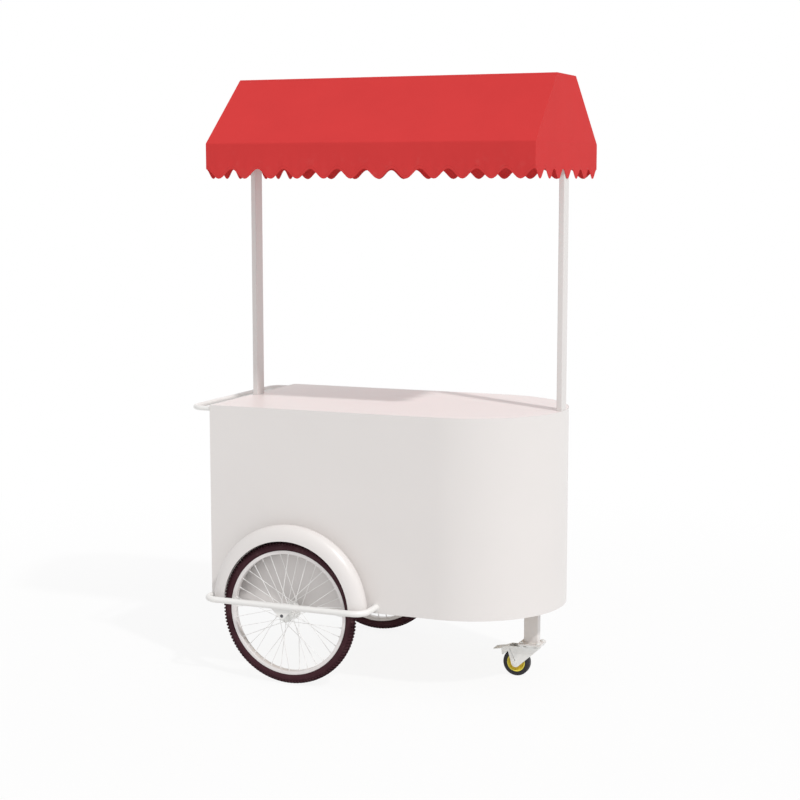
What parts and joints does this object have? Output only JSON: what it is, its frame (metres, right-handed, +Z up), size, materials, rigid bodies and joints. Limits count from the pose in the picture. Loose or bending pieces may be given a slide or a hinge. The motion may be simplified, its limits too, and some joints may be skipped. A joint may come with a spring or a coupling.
{
  "type": "mobile promotion cart",
  "caption": "Wheeled vending cart with a rounded cabinet, flat counter, two posts carrying a scalloped cloth canopy, spoked side wheels with fenders and guard bars, and a braked castor.",
  "frame": {"origin": "on the floor under the middle of the whole cart, push handle included", "axes": "+X from the push handle to the rounded nose, +Y from the front side to the rear side, +Z up"},
  "size_m": [1.324, 0.95, 2.148],
  "materials": {
    "white_paint": "semi-gloss powder coat",
    "counter_paint": "semi-gloss powder coat",
    "frame_paint": "matt primer",
    "post_paint": "semi-gloss powder coat",
    "guard_paint": "gloss powder coat",
    "floor_board": "lacquered plywood",
    "canopy_cloth": "coated woven cloth",
    "canopy_tube": "mill finish",
    "big_tyre": "matt rubber",
    "rim_metal": "anodised",
    "spoke_steel": "bright",
    "zinc": "zinc plated",
    "dark_steel": "oiled",
    "castor_rubber": "satin",
    "castor_plastic": "moulded",
    "knob_plastic": "moulded"
  },
  "bodies": {
    "cart": {"base_frame": "frame_paint", "top_frame": "frame_paint", "frame_uprights": "frame_paint", "floor_panel": "floor_board", "body_shell": "white_paint", "left_end_panel": "white_paint", "counter_top": "counter_paint", "push_handle": "guard_paint", "handle_screws": "zinc", "fixed_hinges": "zinc", "hinge_pins": "zinc", "door_catches": "knob_plastic", "left_post": "post_paint", "right_post": "post_paint", "post_plugs": "zinc", "post_bolts": "zinc", "eave_frame": "canopy_tube", "ridge_frame": "canopy_tube", "rafters": "canopy_tube", "canopy_cover": "canopy_cloth", "front_axle": "dark_steel", "rear_axle": "dark_steel", "axle_nuts": "zinc", "axle_spacers": "zinc", "outer_plates": "guard_paint", "inner_plates": "frame_paint", "front_guard_bar": "guard_paint", "rear_guard_bar": "guard_paint", "front_fender": "white_paint", "rear_fender": "white_paint", "fender_rivets": "zinc", "castor_leg": "white_paint", "castor_plate": "zinc", "castor_plate_bolts": "zinc", "castor_kingpin": "zinc", "castor_race": "zinc"},
    "front_wheel": {"front_tyre": "big_tyre", "front_rim": "rim_metal", "front_spokes": "spoke_steel", "front_hub": "zinc", "front_bearings": "zinc"},
    "rear_wheel": {"rear_tyre": "big_tyre", "rear_rim": "rim_metal", "rear_spokes": "spoke_steel", "rear_hub": "zinc", "rear_bearings": "zinc"},
    "front_door_leaf": {"front_door": "white_paint", "front_door_hinges": "zinc", "front_door_knob": "knob_plastic"},
    "rear_door_leaf": {"rear_door": "white_paint", "rear_door_hinges": "zinc", "rear_door_knob": "knob_plastic"},
    "castor_swivel": {"castor_fork": "zinc", "castor_axle": "zinc", "brake_pin": "zinc"},
    "castor_wheel": {"castor_tyre": "castor_rubber", "castor_hub": "castor_plastic", "castor_bush": "zinc"},
    "castor_brake": {"brake_pedal": "zinc"}
  },
  "joints": [
    {"name": "front_wheel_spin", "type": "hinge", "parent": "cart", "child": "front_wheel", "pos_m": [-0.227, -0.404, 0.259], "axis": [0, 1, 0], "continuous": true},
    {"name": "rear_wheel_spin", "type": "hinge", "parent": "cart", "child": "rear_wheel", "pos_m": [-0.227, 0.404, 0.259], "axis": [0, 1, 0], "continuous": true},
    {"name": "castor_swivel_turn", "type": "hinge", "parent": "cart", "child": "castor_swivel", "pos_m": [0.55, 0, 0.108], "axis": [0, 0, 1], "continuous": true},
    {"name": "castor_wheel_spin", "type": "hinge", "parent": "castor_swivel", "child": "castor_wheel", "pos_m": [0.494, 0, 0.05], "axis": [0, 1, 0], "continuous": true},
    {"name": "brake_press", "type": "hinge", "parent": "castor_swivel", "child": "castor_brake", "pos_m": [0.47, 0, 0.104], "axis": [0, -1, 0], "range_deg": [0, 12]},
    {"name": "front_door_swing", "type": "hinge", "parent": "cart", "child": "front_door_leaf", "pos_m": [-0.5723, -0.301, 0.62], "axis": [0, 0, 1], "range_deg": [0, 110]},
    {"name": "rear_door_swing", "type": "hinge", "parent": "cart", "child": "rear_door_leaf", "pos_m": [-0.5723, 0.301, 0.62], "axis": [0, 0, -1], "range_deg": [0, 110]}
  ]
}
